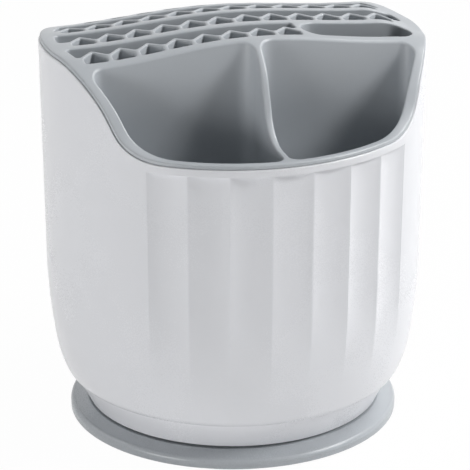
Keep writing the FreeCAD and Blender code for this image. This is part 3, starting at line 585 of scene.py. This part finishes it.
def band_loop(places, cells, y):
    """Long slot behind one row: zigzag front, straight back, ends on the border."""
    low = y + CELL_EAVE + RIB_T - CELL_LAND * VALLEY_SHARE
    peak = y + CELL_APEX + RIB_T
    back = y + ROW_PITCH - BAR_T
    middle = (low + back) / 2
    left = -places * CELL_PITCH / 2
    reach = BAND_REACH - left
    on_border = reach > max(border_x(low), border_x(back))
    low_end, back_end = min(reach, border_x(low)), min(reach, border_x(back))
    corners = [(-low_end, low)]
    for k in range(cells):
        x = left + (k + 0.5) * CELL_PITCH
        corners += [(x - CELL_PITCH / 2, low), (x, peak)]
    if cells == places:
        corners += [(left + cells * CELL_PITCH, low), (low_end, low)]
        if on_border:
            corners.append((border_x(middle), middle))
        corners.append((back_end, back))
    else:
        # a short row stops at the wide slot, part of the way down its last gable
        stop = TOOL_SLOT_X - RIB_T
        corners += [(stop, peak - (stop - x) * GABLE_SLOPE), (stop, back)]
    corners.append((-back_end, back))
    if on_border:
        corners.append((-border_x(middle), middle))
    apart = [c for i, c in enumerate(corners) if math.dist(c, corners[i - 1]) > LEAST_SIDE]
    ends_from = min(abs(apart[0][0]), abs(apart[-1][0])) - BAND_END_ZONE
    radii = [BAND_END_ROUND if abs(x) > ends_from else BAND_ROUND for x, _ in apart]
    return with_steps(rounded_loop(apart, radii), DECK_STEP)


def tool_slot_loop():
    """The wide slot with round ends."""
    r = (TOOL_SLOT_BACK - ROW_Y) / 2
    left, right = TOOL_SLOT_X, border_x(ROW_Y + r) - TOOL_SLOT_GAP
    box = [(left, ROW_Y), (right, ROW_Y), (right, TOOL_SLOT_BACK), (left, TOOL_SLOT_BACK)]
    return with_steps(rounded_loop(box, r * TOOL_SLOT_ROUND), DECK_STEP)


deck_loops = [tool_slot_loop()]
for k, (places, cells) in enumerate(ROW_CELLS):
    y = ROW_Y + k * ROW_PITCH
    for i in range(cells):
        deck_loops.append(cell_loop((i + 0.5 - places / 2) * CELL_PITCH, y))
    deck_loops.append(band_loop(places, cells, y))
print("openings in the deck:", len(deck_loops))

# %% [markdown]
# ## Plans of the wells and cups
#
# Each cup holds a half-round well with a straight back and a straight side at the divider. It tapers a
# little to its floor, as a moulding must to leave its tool. A scaled copy of the top outline would thin
# the divider, so the outline is a function of its radius and its back. The top and the floor then
# have matching points, and a loft between them is only rows.

# %% Well and cup outlines
WELL_TOP = (77.3, -29.8)                            # radius, and y of the straight back
WELL_FLOOR = (72.2, -32.0)
WELL_OUTER_ROUND, WELL_INNER_ROUND, WELL_FRONT_ROUND = 5.0, 6.5, 4.0
CUP_TOP = (78.8, -28.1)
CUP_BOTTOM = (73.9, -30.3)
CUP_ROUND = 6.7
DIVIDER_X = 0.6
DIVIDER_T = 3.0
ORIGIN = (0, 0)
MIRROR = np.array([-1, 1])


def fillet(centre, radius, start, end, count):
    """Points of an arc from start, short of end."""
    a0 = math.atan2(start[1] - centre[1], start[0] - centre[0])
    turn = short_turn(a0, math.atan2(end[1] - centre[1], end[0] - centre[0]))
    a = a0 + turn * np.arange(count) / count
    return np.stack([centre[0] + radius * np.cos(a), centre[1] + radius * np.sin(a)], -1)


def straight(start, end, count):
    """Points of a line from start, short of end."""
    t = (np.arange(count) / count)[:, None]
    return np.asarray(start) * (1 - t) + np.asarray(end) * t


def back_corner(r, back_y, corner_r):
    """Centre and both ends of the fillet between a straight back and the round front, on the right."""
    centre = np.array([math.sqrt((r - corner_r) ** 2 - (back_y - corner_r) ** 2), back_y - corner_r])
    return centre, np.array([centre[0], back_y]), centre * (r / (r - corner_r))


def well_loop(side, r, back_y):
    """Plan of one well, anticlockwise, with the same number of points at any size."""
    inner = DIVIDER_T / 2 + side * DIVIDER_X
    ro, ri, rf = WELL_OUTER_ROUND, WELL_INNER_ROUND, WELL_FRONT_ROUND
    oc, o1, o2 = back_corner(r, back_y, ro)
    ic = np.array([inner + ri, back_y - ri])
    fc = np.array([inner + rf, -math.sqrt((r - rf) ** 2 - (inner + rf) ** 2)])
    i1, i2 = np.array([inner, ic[1]]), np.array([ic[0], back_y])
    f1, f2 = fc * (r / (r - rf)), np.array([inner, fc[1]])
    loop = np.concatenate([
        straight(i2, o1, 30), fillet(oc, ro, o1, o2, 12), fillet(ORIGIN, r, o2, f1, 60),
        fillet(fc, rf, f1, f2, 8), straight(f2, i1, 24), fillet(ic, ri, i1, i2, 8),
    ])
    # the walk above is clockwise on the right, so that side is turned round
    return loop[::-1] if side > 0 else loop * MIRROR


CUP_ARC = 70                                        # points on each half of the front arc


def cup_loop(r, back_y):
    """Plan round both cups, anticlockwise from the left end of the front arc."""
    oc, o1, o2 = back_corner(r, back_y, CUP_ROUND)
    front = (0, -r)
    return np.concatenate([
        fillet(ORIGIN, r, o2 * MIRROR, front, CUP_ARC), fillet(ORIGIN, r, front, o2, CUP_ARC),
        fillet(oc, CUP_ROUND, o2, o1, 12), straight(o1, o1 * MIRROR, 60),
        fillet(oc * MIRROR, CUP_ROUND, o1 * MIRROR, o2 * MIRROR, 12),
    ])


SIDES = (-1, 1)
wells = [well_loop(side, *WELL_TOP) for side in SIDES]
well_floors = [well_loop(side, *WELL_FLOOR) for side in SIDES]
cup_top = cup_loop(*CUP_TOP)
cup_low = cup_loop(*CUP_BOTTOM)
print("well points:", len(wells[0]), "cup points:", len(cup_top))

# %% [markdown]
# ## The face and lip of the insert
#
# The two CAD solids of the insert meet on a flat plane, but on the real object they are one moulding.
# So one mesh stands for both, and no seam can show. It starts with the face on the crown, cut by every
# opening. The lip lies on the rim of the barrel, and under it the insert steps in to a plug that fits
# inside. The front of the plug is the outline of the cups, so the two share their points there.

# %% Face and lip
LIP_R = 81.3
LIP_T = 1.55
LIP_ROUND = 0.7
PLUG_R = 78.8
SLOT_ROUND = 0.85
WELL_ROUND = 1.1
WELL_EDGE_STEPS = 6
REAR_STEPS = 219                                    # round the rear of the plug

front_count = 2 * CUP_ARC + 1                       # the front arc of the cups, both ends included
right_end, left_end = cup_top[front_count - 1], cup_top[0]
rear_from = math.atan2(right_end[1], right_end[0])
rear_to = math.atan2(left_end[1], left_end[0]) + FULL_TURN
rear_angles = np.linspace(rear_from, rear_to, REAR_STEPS + 1)[1:-1]
plug_arc = np.stack([np.cos(rear_angles), np.sin(rear_angles)], -1) * PLUG_R
plug_loop = np.concatenate([cup_top[:front_count], plug_arc])
lip_loop = plug_loop * (LIP_R / PLUG_R)

lip_rows = edge_rows(lip_loop, LIP_ROUND, -1)
slot_rows = [edge_rows(loop, SLOT_ROUND, 1) for loop in deck_loops]
well_rows = [edge_rows(loop, WELL_ROUND, 1, WELL_EDGE_STEPS) for loop in wells]
insert = Skin()
plate_face(insert, lip_rows[0][:, :2], [rows[0][:, :2] for rows in slot_rows + well_rows], crown_at)
lip_rows.append(lift(lip_loop, crown_at(lip_loop) - LIP_T))
lip_rows.append(lift(plug_loop, crown_at(plug_loop) - LIP_T))
insert.rings(lip_rows, flip=True)
print("faces on the face and lip:", len(insert.faces))

# %% [markdown]
# ## Slots and underside
#
# The openings of the deck go straight down to an underside that is the crown again, only lower. The
# rear of the plug is an open strip from one end of the cups to the other. The underside is filled
# between that strip and the back of the cups, and takes the same loops as the face.

# %% Slots and underside
DECK_DEPTH = 13.0


def under_deck(pts):
    """Height of the underside over plan points."""
    return crown_at(pts) - DECK_DEPTH


for rows, loop in zip(slot_rows, deck_loops):
    for share in (0.5, 1.0):
        rows.append(lift(loop, crown_at(loop) - SLOT_ROUND - share * (DECK_DEPTH - SLOT_ROUND)))
    insert.rings(rows)

plug_rear = np.concatenate([[right_end], plug_arc, [left_end]])
plug_rows = [lift(plug_rear, crown_at(plug_rear) - LIP_T - d) for d in (0, DECK_DEPTH - LIP_T)]
insert.rings(plug_rows, closed=False, flip=True)
cup_back = cup_top[front_count:]
plate_face(insert, np.concatenate([plug_rear, cup_back[::-1]]), deck_loops, under_deck, flip=True)
print("faces with the deck:", len(insert.faces))

# %% [markdown]
# ## Wells with drains
#
# A well goes straight down from its rounded edge to a break in the wall. From there it tapers to the
# floor. The floor's edge is a quarter round, made of the floor outline moved inward row by row. Five
# drain holes let the water out. They don't show in the photograph, but such a holder needs them.

# %% Wells
WELL_BREAK_Z = 126.0
CUP_FLOOR_Z = 36.0
CUP_UNDER_Z = 34.0
FLOOR_ROUND = 2.5
FLOOR_INSET = 0.95 * FLOOR_ROUND                    # a little less, so the rows stay apart at tight corners
TAPER_ROWS, FLOOR_ROWS = 11, 5
DRAIN_R = 3.0
DRAIN_POINTS = 24
DRAIN_MIDDLE = (25.74, -52.1)
DRAIN_SPOTS = ((0, 0), (12, 0), (-12, 0), (0, 9), (0, -9))

all_drains = []
for side, rows, top, floor in zip(SIDES, well_rows, wells, well_floors):
    edge_z = rows[-1][:, 2]
    for share in (0.35, 0.7, 1.0):
        rows.append(lift(top, edge_z + (WELL_BREAK_Z - edge_z) * share))
    for share in np.linspace(0, 1, TAPER_ROWS + 1)[1:]:
        z = WELL_BREAK_Z + (CUP_FLOOR_Z + FLOOR_ROUND - WELL_BREAK_Z) * share
        rows.append(lift(top + (floor - top) * share, z))
    for k in range(1, FLOOR_ROWS + 1):
        a = math.pi / 2 * k / FLOOR_ROWS
        ring = offset_loop(floor, -FLOOR_INSET * (1 - math.cos(a)))
        rows.append(lift(ring, CUP_FLOOR_Z + FLOOR_ROUND * (1 - math.sin(a))))
    insert.rings(rows)
    x, y = side * DRAIN_MIDDLE[0], DRAIN_MIDDLE[1]
    drains = [circle_loop((x + dx, y + dy), DRAIN_R, DRAIN_POINTS) for dx, dy in DRAIN_SPOTS]
    plate_face(insert, rows[-1][:, :2], drains, level(CUP_FLOOR_Z), spacing=9.0)
    for drain in drains:
        insert.rings([lift(drain, CUP_FLOOR_Z), lift(drain, CUP_UNDER_Z)])
    all_drains += drains
print("drains:", len(all_drains))

# %% [markdown]
# ## Outside of the cups
#
# Outside, both cups are one tapered body. In front its top is the edge of the plug, and at the back it
# is the underside of the deck, which lies lower. A small triangle on each side, a web, closes the step
# between the two heights. With the bottom plate the mesh is closed, and it can become an object.

# %% Cups
top_z = crown_at(cup_top) - LIP_T
top_z[front_count:] = under_deck(cup_back)
insert.rings([lift(cup_top, top_z), lift(cup_top, WELL_BREAK_Z), lift(cup_low, CUP_UNDER_Z)], flip=True)
for near, far, flip in ((front_count - 1, front_count, True), (0, -1, False)):
    plan = cup_top[[near, near, far]]
    insert.cap(lift(plan, crown_at(plan) - [LIP_T, DECK_DEPTH, DECK_DEPTH]), flip=flip)
plate_face(insert, cup_low, all_drains, level(CUP_UNDER_Z), spacing=FLAT_SPACING, flip=True)
insert_nodes = ["cutlery_cups", "knife_deck"]
insert_piece = insert.make("utensil_insert", "insert", insert_nodes, sharp_deg=40.0)

# %% [markdown]
# ## Shader maths in plain Python
#
# A finish is a network of nodes, and a long list of links is hard to read. One small class wraps a
# socket and lets Python's operators add the Math nodes, and one method makes any other node, so each
# finish below reads like a formula.


# %% Shader helpers
class Tone:
    """A value in a finish; operators on it add Math nodes."""

    def __init__(self, finish, socket):
        self.finish = finish
        self.socket = socket

    def math(self, operation, left, right):
        return self.finish.node("ShaderNodeMath", {"operation": operation}, {0: left, 1: right})

    def __add__(self, other):
        return self.math("ADD", self, other)

    def __radd__(self, other):
        return self.math("ADD", other, self)

    def __mul__(self, other):
        return self.math("MULTIPLY", self, other)

    def __rmul__(self, other):
        return self.math("MULTIPLY", other, self)


class Finish:
    """A material with one Principled shader and the nodes that feed it."""

    def __init__(self, name, **constants):
        self.material = bpy.data.materials.new(name)
        self.material.use_nodes = True
        self.tree = self.material.node_tree
        self.shader = self.tree.nodes["Principled BSDF"]
        self.feed(**constants)

    def put(self, socket, value):
        """Links a tone to a socket, or sets a constant on it."""
        if isinstance(value, Tone):
            self.tree.links.new(value.socket, socket)
        else:
            socket.default_value = value

    def node(self, kind, settings=None, sockets=None, out=0):
        """Any node, with its settings and what goes into its sockets."""
        made = self.tree.nodes.new(kind)
        for name, value in (settings or {}).items():
            setattr(made, name, value)
        for key, value in (sockets or {}).items():
            self.put(made.inputs[key], value)
        return Tone(self, made.outputs[out])

    def noise(self, scale, detail=2.0, roughness=0.5):
        """Noise over the piece; scale counts its features in a metre."""
        place = self.node("ShaderNodeTexCoord", out="Object")
        return self.node("ShaderNodeTexNoise", sockets={
            "Vector": place, "Scale": scale, "Detail": detail, "Roughness": roughness})

    def mix(self, share, first, second):
        """A colour between two."""
        return self.node("ShaderNodeMix", {"data_type": "RGBA"}, {0: share, 6: first, 7: second}, out=2)

    def bump(self, height, strength, distance):
        """A normal from a height."""
        sockets = {"Strength": strength, "Distance": distance, "Height": height}
        return self.node("ShaderNodeBump", sockets=sockets)

    def feed(self, **values):
        """Gives values to the shader; an underscore stands for the space in a socket's name."""
        for socket, value in values.items():
            self.put(self.shader.inputs[socket.replace("_", " ")], value)
        return self.material


def shade(value, tint):
    """A tinted grey."""
    return (value * tint[0], value * tint[1], value * tint[2], 1.0)


# %% [markdown]
# ## Finishes
#
# The barrel and foot are glossy white plastic: smooth, with the faint waviness that a moulding has. The
# insert and the base are the same grey plastic with a fine matt grain; the insert's grey is set a little
# lighter than the base's, and that difference is painted light that brightens the insert's top. The
# hidden ring that holds the balls is a natural pale plastic, the balls and screws are steel, and the pads
# below are rubber.
#
# An even colour looks like a drawing. So each finish has a slow noise for the colour and the gloss, and
# a fast one for the grain. Both are weak, because new plastic is nearly even.

# %% Plastics, steel and rubber
COOL = (0.935, 0.99, 1.045)                         # tint of the grey
MILKY = (0.985, 0.995, 1.03)                        # tint of the white


def glossy_white():
    f = Finish("white_shell", IOR=1.42, Coat_Roughness=0.10)
    cloud = f.noise(14.0, 3.0)
    peel = f.noise(260.0, 1.0)
    fine = f.noise(1900.0, 2.0)
    return f.feed(
        Base_Color=f.mix(cloud, shade(0.80, MILKY), shade(0.84, MILKY)),
        Roughness=0.20 + 0.10 * cloud + 0.04 * fine,
        Coat_Weight=0.04 + 0.06 * cloud,
        Normal=f.bump(peel + 0.15 * fine, 0.05, 0.0004),
    )


def grained_grey(name, value, roughness):
    f = Finish(name, IOR=1.49)
    cloud = f.noise(22.0, 3.0)
    grain = f.noise(2600.0, 2.0, 0.6)
    dark, light = shade(value * 0.95, COOL), shade(value * 1.05, COOL)
    return f.feed(
        Base_Color=f.mix(cloud * 0.7 + grain * 0.3, dark, light),
        Roughness=roughness - 0.06 + 0.08 * cloud + 0.06 * grain,
        Normal=f.bump(grain, 0.10, 0.00012),
    )


def pale_plastic():
    f = Finish("pale_cage", IOR=1.5)
    cloud = f.noise(60.0, 2.0)
    return f.feed(
        Base_Color=f.mix(cloud, (0.66, 0.65, 0.60, 1), (0.74, 0.73, 0.69, 1)),
        Roughness=0.34 + 0.14 * cloud,
        Normal=f.bump(f.noise(1500.0), 0.06, 0.0001),
    )


def bright_steel():
    f = Finish("steel", Metallic=1.0)
    scuff = f.noise(420.0, 4.0, 0.65)
    return f.feed(
        Base_Color=f.mix(scuff, (0.56, 0.57, 0.58, 1), (0.70, 0.70, 0.70, 1)),
        Roughness=0.16 + 0.20 * scuff,
        Normal=f.bump(scuff, 0.05, 0.0001),
    )


def soft_rubber():
    f = Finish("rubber", IOR=1.5)
    grain = f.noise(1400.0, 3.0, 0.6)
    return f.feed(
        Base_Color=f.mix(grain, (0.020, 0.021, 0.022, 1), (0.045, 0.046, 0.047, 1)),
        Roughness=0.70 + 0.18 * grain,
        Normal=f.bump(grain, 0.25, 0.0002),
    )


FINISHES = {
    "white_shell": glossy_white(),
    # same plastic as grey_base; the insert's higher value, 0.49 against 0.46, is painted light on its top
    "grey_insert": grained_grey("grey_insert", 0.49, 0.33),
    "grey_base": grained_grey("grey_base", 0.46, 0.27),
    "pale_cage": pale_plastic(),
    "steel": bright_steel(),
    "rubber": soft_rubber(),
}
print("finishes:", ", ".join(FINISHES))

# %% [markdown]
# ## Dressing the pieces
#
# The two meshes get their finish as their only material. The other nodes came with the frame and have
# a material slot already, so the finish goes into that slot and their solids stay as packed. Drawing
# the foot, the disc or the screws again would add nothing: they are plain turned shapes.

# %% Dress the pieces
NODE_FINISH = {
    "foot_ring": "white_shell", "foot_screws": "steel", "base_disc": "grey_base", "rubber_feet": "rubber",
    "bearing_balls": "steel", "ball_cage": "pale_cage", "pivot_bolt": "steel", "pivot_washer": "steel",
}

for piece, finish in ((barrel, "white_shell"), (insert_piece, "grey_insert")):
    piece.data.materials.clear()
    piece.data.materials.append(FINISHES[finish])
for node, finish in NODE_FINISH.items():
    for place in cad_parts[node].material_slots:
        place.material = FINISHES[finish]
print("dressed", len(NODE_FINISH), "packed nodes and 2 meshes")

# %% [markdown]
# ## Floor and world
#
# A product photograph stands on a pale floor that runs out to white. A pure white floor would lose the
# object's shadow, and a lit one would look grey. So the floor is lit like any surface, but a ray that
# looks straight at it sees it mixed with plain white. The world does the same: it is white to look at
# and gives only a little light.

# %% Floor and world
FLOOR_HALF = 3.0
FLOOR_WHITENESS = 0.98
AMBIENT = 0.045


def looks_on(tree):
    """1 for the rays that show a background: straight from the camera, mirrored or through glass."""
    path = tree.nodes.new("ShaderNodeLightPath")
    seen = path.outputs["Is Camera Ray"]
    for ray in ("Is Glossy Ray", "Is Transmission Ray"):
        either = tree.nodes.new("ShaderNodeMath")
        either.operation = "MAXIMUM"
        tree.links.new(seen, either.inputs[0])
        tree.links.new(path.outputs[ray], either.inputs[1])
        seen = either.outputs[0]
    return seen


def blend_into(tree, share, first, second, output):
    """Mixes two shaders by a share into the tree's output."""
    blend = tree.nodes.new("ShaderNodeMixShader")
    tree.links.new(share, blend.inputs[0])
    tree.links.new(first.outputs[0], blend.inputs[1])
    tree.links.new(second.outputs[0], blend.inputs[2])
    tree.links.new(blend.outputs[0], tree.nodes[output].inputs["Surface"])


def pale_floor():
    material = bpy.data.materials.new("pale_floor")
    material.use_nodes = True
    tree = material.node_tree
    paint = tree.nodes["Principled BSDF"]
    paint.inputs["Base Color"].default_value = (0.86, 0.86, 0.86, 1)
    paint.inputs["Roughness"].default_value = 0.9
    paint.inputs["Specular IOR Level"].default_value = 0.1
    white = tree.nodes.new("ShaderNodeEmission")
    white.inputs["Strength"].default_value = 1.0
    seen = tree.nodes.new("ShaderNodeMath")
    seen.operation = "MULTIPLY"
    seen.inputs[1].default_value = FLOOR_WHITENESS
    tree.links.new(looks_on(tree), seen.inputs[0])
    blend_into(tree, seen.outputs[0], paint, white, "Material Output")
    return material


floor_mesh = bpy.data.meshes.new("studio_floor")
floor_corners = [(x * FLOOR_HALF, y * FLOOR_HALF, 0) for x, y in ((-1, -1), (1, -1), (1, 1), (-1, 1))]
floor_mesh.from_pydata(floor_corners, [], [(0, 1, 2, 3)])
floor_mesh.materials.append(pale_floor())
studio_floor = bpy.data.objects.new("studio_floor", floor_mesh)
bpy.context.scene.collection.objects.link(studio_floor)

world = bpy.data.worlds.new("studio_world")
bpy.context.scene.world = world
world.use_nodes = True
sky = world.node_tree
ambient = sky.nodes["Background"]
ambient.inputs["Color"].default_value = (0.93, 0.96, 1.0, 1)
ambient.inputs["Strength"].default_value = AMBIENT
backdrop = sky.nodes.new("ShaderNodeBackground")
backdrop.inputs["Color"].default_value = (1, 1, 1, 1)
backdrop.inputs["Strength"].default_value = 1.0
blend_into(sky, looks_on(sky), ambient, backdrop, "World Output")
print("floor and world are ready")

# %% [markdown]
# ## Lamps and camera
#
# The lamps are soft panels, and all look at the middle of the object. A key and a high one at the upper
# right make the bright right side and the shadows in the wells. On the left a strong panel stands low,
# because the walls inside the deck stay dark only if the light on that side comes from below the rim.
# Two weaker ones on the left and one behind on the right soften the rest.
#
# The camera has a long lens from a little above and from the left, as the photograph was taken. Its
# place was found by fitting the outline of the barrel and the disc.

# %% Lamps and camera
OBJECT_MIDDLE = (0.0, 0.0, 0.09)
PANELS = (                                          # name, place, width, height, watts
    ("key_panel", (1.0, -0.5, 0.95), 0.45, 0.45, 12.2),
    ("high_panel", (0.85, 0.1, 1.2), 0.45, 0.45, 8.6),
    ("right_back_panel", (0.95, 0.55, 0.85), 0.6, 0.8, 0.7),
    ("left_panel", (-1.1, -0.75, 0.55), 0.7, 0.9, 0.9),
    ("left_low_panel", (-1.15, -0.6, 0.17), 0.6, 0.3, 5.4),
    ("left_back_panel", (-1.0, 0.55, 0.8), 0.7, 0.9, 2.2),
)
CAMERA_PLACE = (-0.3153, -1.0677, 0.5101)
CAMERA_TARGET = (0.0009, -0.0003, 0.0787)


def place_and_aim(name, data, place, target):
    """An object for a lamp or camera that looks at a target."""
    holder = bpy.data.objects.new(name, data)
    holder.location = place
    holder.rotation_euler = (Vector(target) - holder.location).to_track_quat("-Z", "Y").to_euler()
    bpy.context.scene.collection.objects.link(holder)
    return holder


for name, place, width, height, watts in PANELS:
    lamp = bpy.data.lights.new(name, "AREA")
    lamp.shape = "RECTANGLE"
    lamp.size = width
    lamp.size_y = height
    lamp.energy = watts
    place_and_aim(name, lamp, place, OBJECT_MIDDLE)

lens = bpy.data.cameras.new("photo_camera")
lens.sensor_fit = "HORIZONTAL"
lens.sensor_width = 36.0
lens.lens = 210.87
lens.clip_start = 0.05
photo_camera = place_and_aim("photo_camera", lens, CAMERA_PLACE, CAMERA_TARGET)
bpy.context.scene.camera = photo_camera
bpy.context.scene.view_settings.view_transform = "Standard"
print("lamps:", len(PANELS), "camera at", tuple(round(v, 3) for v in photo_camera.location))
